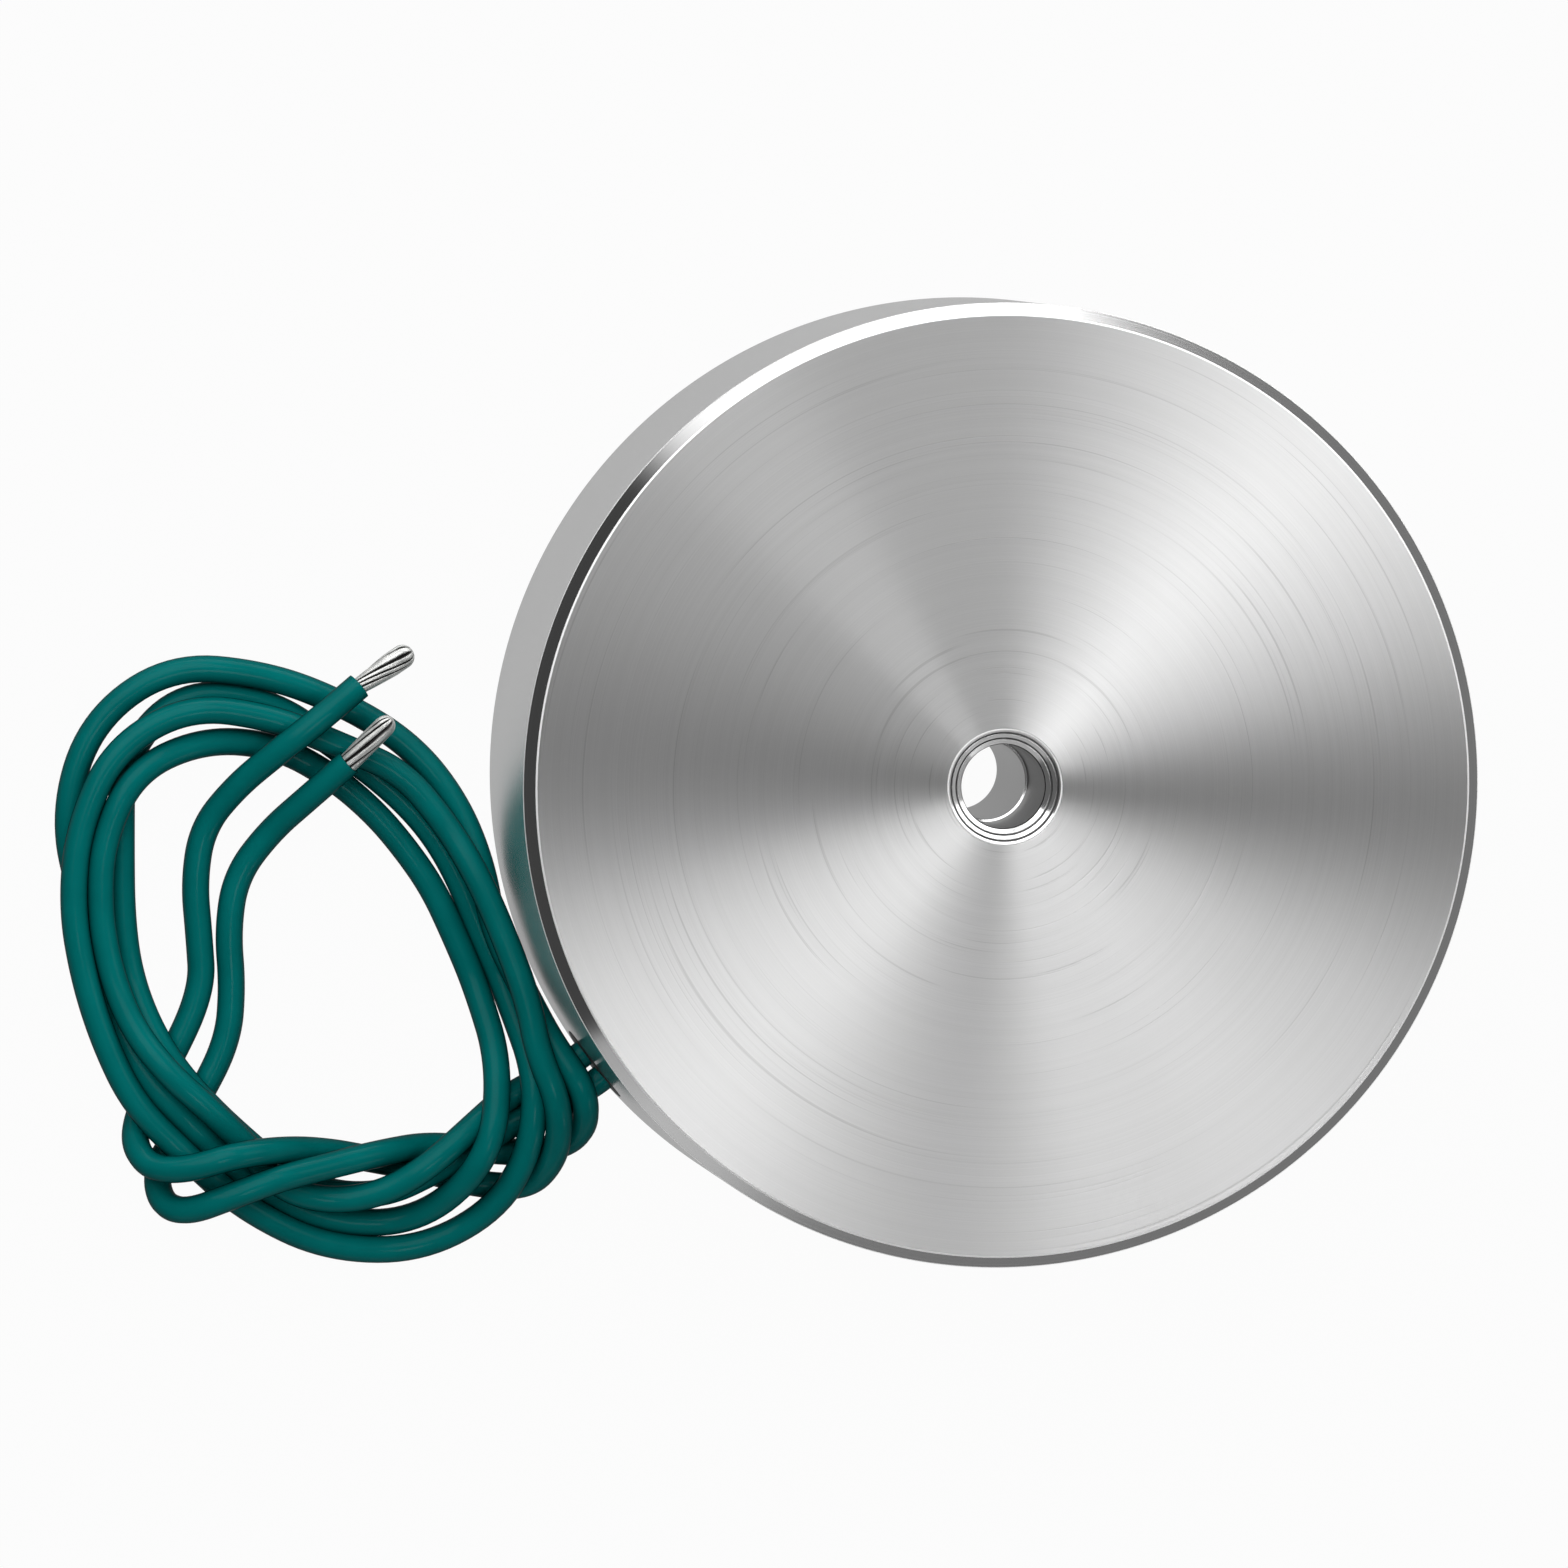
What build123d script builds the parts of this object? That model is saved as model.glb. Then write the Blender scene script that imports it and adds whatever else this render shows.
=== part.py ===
from build123d import *
import os
from math import atan2, cos, degrees, hypot, radians, sin, tan

# Round holding electromagnet, in millimetres. It lies on its pole face at z = 0,
# the mounting face with the through bore looks up, and the axis is Z.

# Turned steel pot
BODY_DIAMETER = 80.0
BODY_HEIGHT = 25.0
BACK_THICKNESS = 7.0
WALL_THICKNESS = 6.5
RIM_CHAMFER = 1.0
RIM_BREAK = 0.12
POLE_CHAMFER = 0.5

# Centre pole, with a spigot that passes through the back of the pot
POLE_DIAMETER = 30.0
SPIGOT_DIAMETER = 9.7
BORE_DIAMETER = 6.6
MOUTH_DIAMETER = 7.0
MOUTH_DEPTH = 10.0
RING_COUNT = 3
RING_DROP = 0.08
RING_SLOPE = 0.75
POLE_EDGE = 0.4

# Moulded bobbin that slides over the pole
BOBBIN_CLEARANCE = 0.2
HUB_WALL = 1.0
FLANGE_THICKNESS = 1.0
FLANGE_GAP = 1.0
RESIN_RECESS = 0.3
RESIN_DEPTH = 1.7
TAIL_SLOT_WIDTH = 1.2

# Room for the joints between the wrapped winding and the wall, and the wrap itself
JOINT_ROOM = 4.7
TAPE_THICKNESS = 0.3

# Flying leads, the hole that they leave by and the bush that lines it
LEAD_DIAMETER = 2.3
CORE_DIAMETER = 1.5
STRAND_ROOT_DIAMETER = 1.3
BARE_LENGTH = 5.4
LEAD_PITCH = 2.6
EXIT_ANGLE = 217.5
EXIT_HEIGHT = 4.5
EXIT_HOLE_DIAMETER = 6.2
BUSH_COLLAR_DIAMETER = 7.0
BUSH_COLLAR_THICKNESS = 0.3

# Joints between the leads and the enamelled winding wire, beside the winding
MAGNET_WIRE_DIAMETER = 0.6
JOINT_DIAMETER = 1.4
JOINT_START_ANGLE = 8.0
JOINT_SWEEP_ANGLE = 12.0
JOINT_GAP_ANGLE = 0.3
SLEEVE_WALL = 0.25
SLEEVE_CLEARANCE = 0.1
SLEEVE_LAP_ANGLE = 2.0
TAIL_REACH_ANGLE = 6.0
TAIL_CLEARANCE = 0.12

# Loose coil of the two leads, on the floor beside the pot. Its centre lies this far
# from the bush, along the exit's line and across it
COIL_DISTANCE = 13.4
COIL_ACROSS = -22.75
STATION_ANGLE = 18
FIRST_STATION_ANGLE = 240
COIL_WINDOW_ANGLE = 10
COIL_CLEARANCE = 0.3
COIL_LOW_HEIGHT = 3.4
COIL_HIGH_HEIGHT = 8.2
ARC_SHARE = 0.45

# Distance of each lead from the coil's centre at each station, clockwise from the
# lower left: nearly two turns, the second outside the first
LEAD_A_RADII = [
    15.2, 15.0, 15.4, 15.9, 17.1, 19.0, 20.6, 19.5, 17.4, 14.9, 13.3, 12.5, 12.6, 13.3,
    15.5, 19.4, 23.4, 25.3, 23.1, 19.8, 17.2, 16.6, 16.3, 16.9, 18.3, 22.7, 25.9, 26.4,
    23.4, 21.0, 19.7, 18.3, 17.1, 16.5, 19.7,
]
LEAD_B_RADII = [
    15.1, 14.3, 14.0, 14.2, 15.0, 17.0, 21.9, 23.9, 21.2, 17.3, 15.8, 15.2, 15.0, 15.5,
    18.2, 23.2, 27.4, 27.8, 25.4, 22.1, 19.5, 18.8, 18.0, 18.2, 19.5, 21.3, 23.1, 22.7,
    19.8, 17.6, 17.4, 16.4, 16.2, 17.0, 19.4,
]

# Third pass along the bottom of the coil, then round the bundle at its lower left,
# from the coil's centre
LEAD_A_KNUCKLE = [
    (21.1, -7.8, 5.6), (23.8, -11.7, 7.1), (24.0, -15.6, 4.2), (20.6, -17.4, 1.2),
    (15.8, -17.1, 1.2), (11.2, -16.5, 1.6), (6.9, -16.9, 4.3), (2.6, -17.8, 5.2),
    (-1.8, -18.7, 6.5), (-6.0, -20.2, 6.6), (-9.6, -21.7, 4.9), (-11.6, -21.1, 3.2),
    (-12.0, -18.5, 1.7),
]
LEAD_B_KNUCKLE = [
    (19.7, -8.4, 7.2), (21.5, -12.7, 7.4), (21.7, -16.9, 5.1), (19.8, -20.2, 1.8),
    (15.1, -20.0, 1.2), (10.7, -18.6, 1.2), (6.2, -17.7, 1.2), (2.1, -16.8, 2.7),
    (-1.7, -16.4, 5.7), (-6.0, -16.7, 7.6), (-9.6, -17.9, 6.8), (-12.6, -18.0, 4.9),
    (-14.0, -16.0, 2.9), (-13.2, -13.1, 1.2),
]

# Tails, from the coil's centre: from under the bundle, up inside the loop and over it
LEAD_A_TAIL = [
    (-10.3, -15.6, 1.2), (-8.6, -13.0, 1.2), (-5.8, -7.7, 1.2), (-5.4, -3.0, 1.2),
    (-5.8, 1.7, 1.4), (-5.1, 6.3, 1.4), (-2.3, 10.1, 2.2), (0.8, 13.1, 4.6),
    (4.0, 16.0, 5.6),
]
LEAD_B_TAIL = [
    (-11.2, -10.2, 1.2), (-7.9, -3.4, 1.2), (-8.2, 1.3, 1.2), (-8.6, 5.8, 1.2),
    (-7.9, 10.4, 1.4), (-5.2, 13.9, 2.8), (-2.1, 16.7, 4.8), (1.4, 19.5, 5.8),
    (4.9, 22.4, 5.4),
]

# Sizes worked out from those above
body_radius = BODY_DIAMETER / 2
cavity_radius = body_radius - WALL_THICKNESS
back_level = BODY_HEIGHT - BACK_THICKNESS
pole_radius = POLE_DIAMETER / 2
spigot_radius = SPIGOT_DIAMETER / 2
bore_radius = BORE_DIAMETER / 2
mouth_radius = MOUTH_DIAMETER / 2
hub_inner = pole_radius + BOBBIN_CLEARANCE
hub_outer = hub_inner + HUB_WALL
flange_radius = cavity_radius - FLANGE_GAP
resin_top = RESIN_RECESS + RESIN_DEPTH
flange_top = resin_top + FLANGE_THICKNESS
winding_top = back_level - FLANGE_THICKNESS
tape_radius = cavity_radius - JOINT_ROOM
winding_radius = tape_radius - TAPE_THICKNESS
lead_radius = LEAD_DIAMETER / 2
core_radius = CORE_DIAMETER / 2
wire_radius = MAGNET_WIRE_DIAMETER / 2
joint_ring_radius = (tape_radius + cavity_radius) / 2
bush_face = body_radius + BUSH_COLLAR_THICKNESS
joint_start = JOINT_START_ANGLE + JOINT_GAP_ANGLE
joint_end = joint_start + JOINT_SWEEP_ANGLE + JOINT_GAP_ANGLE
tail_angle = joint_end + TAIL_REACH_ANGLE
sleeve_inner = lead_radius + SLEEVE_CLEARANCE
sleeve_outer = sleeve_inner + SLEEVE_WALL
sleeve_start = JOINT_START_ANGLE - SLEEVE_LAP_ANGLE
sleeve_sweep = JOINT_SWEEP_ANGLE + 2 * SLEEVE_LAP_ANGLE

parts = {}


def ring(inner, outer, bottom, top):
    """Tube about the axis, between two radii and two heights."""
    outside = Cylinder(outer, top - bottom, align=(Align.CENTER, Align.CENTER, Align.MIN))
    inside = Cylinder(inner, top - bottom, align=(Align.CENTER, Align.CENTER, Align.MIN))
    return Pos(0, 0, bottom) * (outside - inside)


def turned(points):
    """Solid of revolution of an outline in radius and height."""
    outline = make_face(Plane.XZ * Polyline(*points, close=True))
    return revolve(outline, Axis.Z)


def exit_point(distance, across, height):
    """Point beside the exit: distance from the axis, offset across the exit's line."""
    angle = radians(EXIT_ANGLE)
    x = distance * cos(angle) - across * sin(angle)
    y = distance * sin(angle) + across * cos(angle)
    return (x, y, height)


def exit_rod(radius, start, end, across=0.0):
    """Rod along the exit's line, between two distances from the axis."""
    direction = Vector(*exit_point(1, 0, 0))
    plane = Plane(origin=exit_point(start, across, EXIT_HEIGHT), z_dir=direction)
    return extrude(plane * Circle(radius), end - start)


def corner_radii(points):
    """Largest arc that the runs beside each inner corner of a route leave room for."""
    radii = []
    for before, corner, after in zip(points, points[1:], points[2:]):
        incoming = Vector(*corner) - Vector(*before)
        outgoing = Vector(*after) - Vector(*corner)
        half_turn = radians(incoming.get_angle(outgoing)) / 2
        radii.append(ARC_SHARE * min(incoming.length, outgoing.length) / tan(half_turn))
    return radii


def tube(points, radius, label):
    """Round rod along straight runs joined by tangent arcs."""
    radii = corner_radii(points)
    path = FilletPolyline(*points, radius=radii)
    start = Plane(origin=path @ 0, z_dir=path % 0)
    solid = sweep(start * Circle(radius), path=path)
    section = start * Circle(radius)
    share = solid.volume / (section.area * path.length)
    print(label, "length", round(path.length, 1), "volume share", round(share, 4))
    print(label, "arc radii", [round(value, 1) for value in radii])
    return solid


def pot_shell():
    """Cup turned from bar: closed back, outer wall, hole for the leads."""
    profile = [
        (spigot_radius, back_level),
        (spigot_radius, BODY_HEIGHT),
        (body_radius - RIM_CHAMFER - RIM_BREAK, BODY_HEIGHT),
        (body_radius - RIM_CHAMFER, BODY_HEIGHT - RIM_BREAK / 2),
        (body_radius - RIM_BREAK / 2, BODY_HEIGHT - RIM_CHAMFER),
        (body_radius, BODY_HEIGHT - RIM_CHAMFER - RIM_BREAK),
        (body_radius, POLE_CHAMFER),
        (body_radius - POLE_CHAMFER, 0),
        (cavity_radius, 0),
        (cavity_radius, back_level),
    ]
    hole = exit_rod(EXIT_HOLE_DIAMETER / 2, cavity_radius - WALL_THICKNESS, bush_face)
    return turned(profile) - hole


def mouth_rings():
    """Steps of the rings round the bore's mouth, from the spigot's edge inwards."""
    width = (spigot_radius - mouth_radius) / RING_COUNT
    points = []
    for index in range(RING_COUNT):
        outer = spigot_radius - index * width
        level = BODY_HEIGHT - index * (width * RING_SLOPE + RING_DROP)
        points.append((outer, level))
        points.append((outer - width, level - width * RING_SLOPE))
    return points


def centre_pole():
    """Tubular pole with its spigot, stepped bore and ringed mouth."""
    profile = [
        (bore_radius, 0),
        (pole_radius - POLE_EDGE, 0),
        (pole_radius, POLE_EDGE),
        (pole_radius, back_level),
        (spigot_radius, back_level),
        *mouth_rings(),
        (mouth_radius, BODY_HEIGHT - MOUTH_DEPTH),
        (bore_radius, BODY_HEIGHT - MOUTH_DEPTH),
    ]
    return turned(profile)


def tail_slot():
    """Radial slot in the lower flange for the start of the winding."""
    size = (flange_radius - hub_outer, TAIL_SLOT_WIDTH, FLANGE_THICKNESS)
    slot = Box(*size, align=(Align.MIN, Align.CENTER, Align.MIN))
    return Rot(0, 0, EXIT_ANGLE - tail_angle) * Pos(hub_outer, 0, resin_top) * slot


def coil_bobbin():
    """Spool: hub and two flanges, slotted below."""
    profile = [
        (hub_inner, resin_top),
        (flange_radius, resin_top),
        (flange_radius, flange_top),
        (hub_outer, flange_top),
        (hub_outer, winding_top),
        (flange_radius, winding_top),
        (flange_radius, back_level),
        (hub_inner, back_level),
    ]
    return turned(profile) - tail_slot()


def potting_resin():
    """Resin cast in the pole face, level with the bobbin and up the gap beside it."""
    floor = ring(pole_radius, cavity_radius, RESIN_RECESS, resin_top)
    edge = ring(flange_radius, cavity_radius, resin_top, flange_top)
    chamfer_room = ring(pole_radius - POLE_EDGE, pole_radius, 0, POLE_EDGE)
    return floor + edge - chamfer_room - exit_rod(EXIT_HOLE_DIAMETER / 2, flange_radius, bush_face)


def lead_grommet():
    """Rubber bush in the wall, with a collar outside and a passage for each lead."""
    body = exit_rod(EXIT_HOLE_DIAMETER / 2, flange_radius, bush_face)
    collar = exit_rod(BUSH_COLLAR_DIAMETER / 2, cavity_radius, bush_face)
    collar -= Cylinder(body_radius, 2 * BODY_HEIGHT)
    body -= Cylinder(cavity_radius, 2 * BODY_HEIGHT)
    bush = body + collar
    for across in (-LEAD_PITCH / 2, LEAD_PITCH / 2):
        bush -= exit_rod(lead_radius, flange_radius, bush_face + LEAD_DIAMETER, across)
    return bush


def ring_point(distance, angle, height):
    """Point beside the winding, at an angle from the exit."""
    turn = radians(EXIT_ANGLE + angle)
    return (distance * cos(turn), distance * sin(turn), height)


def joint_arc(outer, inner, start, turn, side):
    """Rod or sleeve bent round the winding, on one side of the exit."""
    section = Circle(outer)
    if inner:
        section -= Circle(inner)
    upright = Plane.XZ * Pos(joint_ring_radius, EXIT_HEIGHT) * section
    face = Rot(0, 0, EXIT_ANGLE + side * start) * upright
    return revolve(face, Axis.Z, revolution_arc=side * turn)


def lead_root(side, coil):
    """Lead from its joint, through the bush and out to the face of the coil."""
    across = side * LEAD_PITCH / 2
    points = [
        ring_point(joint_ring_radius, side * JOINT_START_ANGLE, EXIT_HEIGHT),
        exit_point(joint_ring_radius, across, EXIT_HEIGHT),
        exit_point(bush_face + LEAD_DIAMETER, across, EXIT_HEIGHT),
    ]
    return tube(points, lead_radius, "lead root") - coil


def finish_tail():
    """Enamelled wire from its joint to the outside of the winding."""
    on_tape = tape_radius + wire_radius + TAIL_CLEARANCE
    angles = (joint_end, tail_angle, tail_angle + TAIL_REACH_ANGLE, tail_angle + 2 * TAIL_REACH_ANGLE)
    distances = (joint_ring_radius, joint_ring_radius, on_tape, on_tape)
    points = [ring_point(*place, EXIT_HEIGHT) for place in zip(distances, angles)]
    return tube(points, wire_radius, "finish tail")


def start_tail():
    """Enamelled wire from its joint, down to the flange's slot and in to the hub."""
    low = flange_top - wire_radius - TAIL_CLEARANCE
    points = [
        ring_point(joint_ring_radius, -joint_end, EXIT_HEIGHT),
        ring_point(joint_ring_radius, -tail_angle, EXIT_HEIGHT - wire_radius),
        ring_point(tape_radius, -tail_angle, low),
        ring_point(hub_outer + wire_radius, -tail_angle, low),
    ]
    return tube(points, wire_radius, "start tail")


def coil_places(radii):
    """Angle and distance of a lead's stations, clockwise from the first."""
    return [(FIRST_STATION_ANGLE - i * STATION_ANGLE, radius) for i, radius in enumerate(radii)]


def from_coil(points):
    """Points given from the coil's centre, moved to where the coil lies."""
    centre_x, centre_y, _ = exit_point(bush_face + COIL_DISTANCE, COIL_ACROSS, 0)
    return [(centre_x + x, centre_y + y, z) for x, y, z in points]


def knuckle_places(points):
    """Angle and distance of a lead's knuckle points, about the coil's centre."""
    return [(degrees(atan2(y, x)), hypot(x, y)) for x, y, _ in points]


def coil_curve(places, choose, allowance):
    """Closed curve round the strands, outside them or inside them."""
    points = []
    for station in range(0, 360, STATION_ANGLE):
        near = [distance for angle, distance in places
                if abs((angle - station + 180) % 360 - 180) < COIL_WINDOW_ANGLE]
        distance = choose(near) + allowance
        points.append((distance * cos(radians(station)), distance * sin(radians(station)), 0))
    return Spline(*from_coil(points), periodic=True)


def lead_coil():
    """Outer shape of both leads' loose turns: an egg-shaped ring, thicker below."""
    places = coil_places(LEAD_A_RADII) + coil_places(LEAD_B_RADII)
    places += knuckle_places(LEAD_A_KNUCKLE) + knuckle_places(LEAD_B_KNUCKLE)
    outside = make_face(coil_curve(places, max, lead_radius))
    inside = make_face(coil_curve(places, min, -lead_radius))
    block = extrude(outside - inside, COIL_HIGH_HEIGHT)
    near = from_coil([(0, -max(LEAD_B_RADII), COIL_HIGH_HEIGHT)])[0]
    slope = degrees(atan2(COIL_HIGH_HEIGHT - COIL_LOW_HEIGHT, 2 * max(LEAD_B_RADII)))
    top = Plane(origin=near).rotated((-slope, 0, 0))
    block = split(block, bisect_by=top, keep=Keep.BOTTOM)
    return block - Cylinder(bush_face + COIL_CLEARANCE, 2 * BODY_HEIGHT)


def bare_strands(tail):
    """Stripped stranded end, thinnest at the insulation and rounded at its tip."""
    length = BARE_LENGTH
    outline = Polyline((0, length), (0, 0), (STRAND_ROOT_DIAMETER / 2, 0),
                       (core_radius, length - core_radius))
    cap = RadiusArc((core_radius, length - core_radius), (0, length), -core_radius)
    solid = revolve(make_face(Plane.XZ * (outline + cap)), Axis.Z)
    seat = Plane(origin=tail[-1], z_dir=Vector(*tail[-1]) - Vector(*tail[-2]))
    return seat.location * solid


parts["pot_shell"] = pot_shell()
parts["centre_pole"] = centre_pole()
parts["coil_bobbin"] = coil_bobbin()
parts["copper_winding"] = ring(hub_outer, winding_radius, flange_top, winding_top)
parts["winding_tape"] = ring(winding_radius, tape_radius, flange_top, winding_top)
parts["potting_resin"] = potting_resin()
parts["lead_grommet"] = lead_grommet()

coil = lead_coil()
parts["lead_coil"] = coil
parts["lead_a_root"] = lead_root(-1, coil)
parts["lead_b_root"] = lead_root(1, coil)
parts["splice_a"] = joint_arc(JOINT_DIAMETER / 2, 0, joint_start, JOINT_SWEEP_ANGLE, -1)
parts["splice_b"] = joint_arc(JOINT_DIAMETER / 2, 0, joint_start, JOINT_SWEEP_ANGLE, 1)
parts["splice_sleeve_a"] = joint_arc(sleeve_outer, sleeve_inner, sleeve_start, sleeve_sweep, -1)
parts["splice_sleeve_b"] = joint_arc(sleeve_outer, sleeve_inner, sleeve_start, sleeve_sweep, 1)
parts["winding_start_tail"] = start_tail()
parts["winding_finish_tail"] = finish_tail()
tail_a = from_coil(LEAD_A_TAIL)
tail_b = from_coil(LEAD_B_TAIL)
parts["lead_a_tail"] = tube(tail_a, lead_radius, "lead a tail") - coil
parts["lead_b_tail"] = tube(tail_b, lead_radius, "lead b tail") - coil
parts["lead_a_strands"] = bare_strands(tail_a)
parts["lead_b_strands"] = bare_strands(tail_b)

os.makedirs("parts", exist_ok=True)
for name, solid in parts.items():
    export_step(solid, f"parts/{name}.step")
    print(name, round(solid.volume, 1))
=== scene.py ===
# %% [markdown]
# # A round holding electromagnet
#
# The object is a turned steel pot with a coil of copper wire cast into it. It
# holds steel parts by its pole face, which lies on the table here, so the picture
# shows the plain back: a broad disc turned on a lathe, the ringed mouth of the
# bore for its fixing screw, and two thin green leads coiled loosely beside it.
#
# The solid model already fixes every size. This script loads it as a frame, in
# metres, and dresses it: it makes finer surfaces over the parts that show, gives
# every part a finish, and sets up the light and the camera.

import bpy
import numpy as np
from mathutils import Matrix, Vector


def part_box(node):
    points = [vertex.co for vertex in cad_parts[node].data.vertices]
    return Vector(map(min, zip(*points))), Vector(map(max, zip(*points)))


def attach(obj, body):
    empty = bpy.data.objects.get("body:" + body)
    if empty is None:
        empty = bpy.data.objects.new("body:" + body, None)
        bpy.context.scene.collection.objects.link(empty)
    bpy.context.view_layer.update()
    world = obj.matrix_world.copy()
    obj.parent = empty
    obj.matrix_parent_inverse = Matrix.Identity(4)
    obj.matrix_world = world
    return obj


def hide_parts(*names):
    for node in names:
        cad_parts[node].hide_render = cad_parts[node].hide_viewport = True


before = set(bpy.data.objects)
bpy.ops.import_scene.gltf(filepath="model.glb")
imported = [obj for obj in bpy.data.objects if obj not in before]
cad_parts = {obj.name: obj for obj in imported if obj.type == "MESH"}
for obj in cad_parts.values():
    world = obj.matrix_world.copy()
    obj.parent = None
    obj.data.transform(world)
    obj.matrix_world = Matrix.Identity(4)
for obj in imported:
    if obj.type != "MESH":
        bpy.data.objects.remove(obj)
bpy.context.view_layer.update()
print("solid parts:", ", ".join(sorted(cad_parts)))

# %% [markdown]
# ## Sizes
#
# A dressed model must agree with its solids, so the main sizes are read from the
# frame: how far a solid reaches along an axis is a radius or a height of the real
# part. All shapes are worked out in millimetres, which are easy to read on a
# drawing, and turned to metres when a mesh is made. Sizes that no solid's reach
# gives are named later, where they are first needed.

# %% Read the main sizes
MM = 0.001


def reach(node, axis):
    """How far a solid reaches along the x, y or z axis, in millimetres, to a hundredth."""
    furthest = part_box(node)[1]
    return round(furthest["xyz".index(axis)] / MM, 2)


BODY_RADIUS = reach("pot_shell", "x")
BODY_HEIGHT = reach("pot_shell", "z")
CAVITY_RADIUS = reach("potting_resin", "x")
BACK_LEVEL = reach("coil_bobbin", "z")
POLE_RADIUS = reach("centre_pole", "x")
print("disc", 2 * BODY_RADIUS, "mm across and", BODY_HEIGHT, "mm high")
print("cavity", 2 * CAVITY_RADIUS, "mm across and", BACK_LEVEL, "mm deep")

# %% [markdown]
# ## The camera
#
# The photograph was taken from almost straight above and from far away: the edge
# of the disc shows only as a thin crescent at the upper left. A long lens does the
# same here. Its place and tilt come from the ellipses of the rim, and the lens is
# set by its focal length in pixels, which is turned into millimetres of sensor.

# %% Place the camera
CAMERA_PLACE = np.array((-157.72, 58.73, 1002.62)) * MM
CAMERA_YAW = 0.1415
CAMERA_PITCH = -0.059
FOCAL_PIXELS = 12000.0
FRAME_PIXELS = 1568.0
SENSOR = 36.0

forward = np.array((
    np.sin(CAMERA_YAW) * np.cos(CAMERA_PITCH),
    np.sin(CAMERA_PITCH),
    -np.cos(CAMERA_YAW) * np.cos(CAMERA_PITCH),
))
right = np.cross(forward, (0.0, 1.0, 0.0))
right /= np.linalg.norm(right)
up = np.cross(right, forward)

camera = bpy.data.objects.new("camera", bpy.data.cameras.new("camera"))
bpy.context.scene.collection.objects.link(camera)
camera_turn = Matrix(np.column_stack((right, up, -forward)).tolist()).to_4x4()
camera.matrix_world = Matrix.Translation(CAMERA_PLACE.tolist()) @ camera_turn
camera.data.sensor_width = SENSOR
camera.data.lens = FOCAL_PIXELS / FRAME_PIXELS * SENSOR
camera.data.clip_start = 0.01
camera.data.clip_end = 20.0
bpy.context.scene.camera = camera
print("lens", round(camera.data.lens, 1), "mm")

# %% [markdown]
# ## The two leads
#
# The leads are thin, limp wires in a plastic jacket. They leave through one bush,
# lie in a loose coil of nearly two turns, pass once more along its lower edge, hook
# round the bundle and end on top of it with their copper bared. Nothing ties them,
# so no two turns are the same size.
#
# A wire bends without corners, and a NURBS curve does that: it is pulled towards
# its control points and never kinks. Each lead is one such curve. The stations of
# the turns are worked out by angle and distance from the middle of the coil, and
# the rest of the points are listed. Where a strand crosses another its
# height rises by a wire's thickness, so the strands rest on each other.

# %% Points on the exit and around the coil
LEAD_DIAMETER = 2.3
LEAD_PITCH = 2.6
EXIT_ANGLE = np.radians(217.5)
EXIT_HEIGHT = 4.5
EXIT_ALONG = np.array((np.cos(EXIT_ANGLE), np.sin(EXIT_ANGLE), 0.0))
EXIT_ASIDE = np.array((-np.sin(EXIT_ANGLE), np.cos(EXIT_ANGLE), 0.0))
BUSH_FACE = 40.3
COIL_DISTANCE = 13.4
COIL_ACROSS = -22.75
STATION_ANGLE = 18.0
FIRST_STATION = 240.0


def exit_points(distances, across, height=EXIT_HEIGHT):
    """Points along the exit's line: distance times its direction, plus a step across it."""
    distances = np.asarray(distances, float)
    return distances[:, None] * EXIT_ALONG + across * EXIT_ASIDE + (0.0, 0.0, height)


coil_centre = exit_points([BUSH_FACE + COIL_DISTANCE], COIL_ACROSS, 0.0)[0]


def coil_turns(radii, heights):
    """Points of the turns: each lies at its distance from the coil's centre, one station on."""
    angles = np.radians(FIRST_STATION - STATION_ANGLE * np.arange(len(radii)))
    flat = np.asarray(radii)[:, None] * np.column_stack((np.cos(angles), np.sin(angles)))
    return np.column_stack((flat, heights)) + coil_centre


print("coil centre", coil_centre.round(1), "mm")

# %% [markdown]
# ## The route of each lead
#
# A route starts at the soldered joint inside the pot and runs straight out through
# the bush. From there it has four stretches: the start, which climbs onto the coil;
# the turns, as one list of distances and one of heights; the knuckle, which hooks
# round the whole bundle at its lower left; and the tail, which crosses the open
# middle and ends on top. The two leads run side by side but swap places often,
# as loose wires do, so each has lists of its own.

# %% Route of the first lead
LEAD_A_START = [
    (17.6, -12.5, 2.2), (14.5, -14.7, 5.1), (11.0, -17.7, 5.8), (7.3, -20.2, 4.7),
    (2.9, -21.1, 3.5), (-1.7, -19.9, 4.0), (-4.4, -16.3, 4.4),
]
LEAD_A_RADII = [
    15.2, 15.0, 15.4, 15.9, 17.1, 19.0, 20.6, 19.5, 17.4, 14.9, 13.3, 12.5, 12.6, 13.3,
    15.5, 19.4, 23.4, 25.3, 23.1, 19.8, 17.2, 16.6, 16.3, 16.9, 18.3, 22.7, 25.9, 26.4,
    23.4, 21.0, 19.7, 18.3, 17.1, 16.5, 19.7,
]
LEAD_A_HEIGHTS = [
    5.8, 5.7, 4.3, 3.3, 3.1, 3.2, 3.4, 1.9, 1.2, 1.2, 1.2, 1.2, 1.3, 1.6,
    1.7, 5.1, 7.3, 1.5, 1.5, 2.2, 4.2, 3.5, 1.5, 1.2, 1.2, 1.2, 1.2, 2.3,
    2.2, 1.3, 1.2, 1.2, 2.3, 3.1, 3.8,
]
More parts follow.
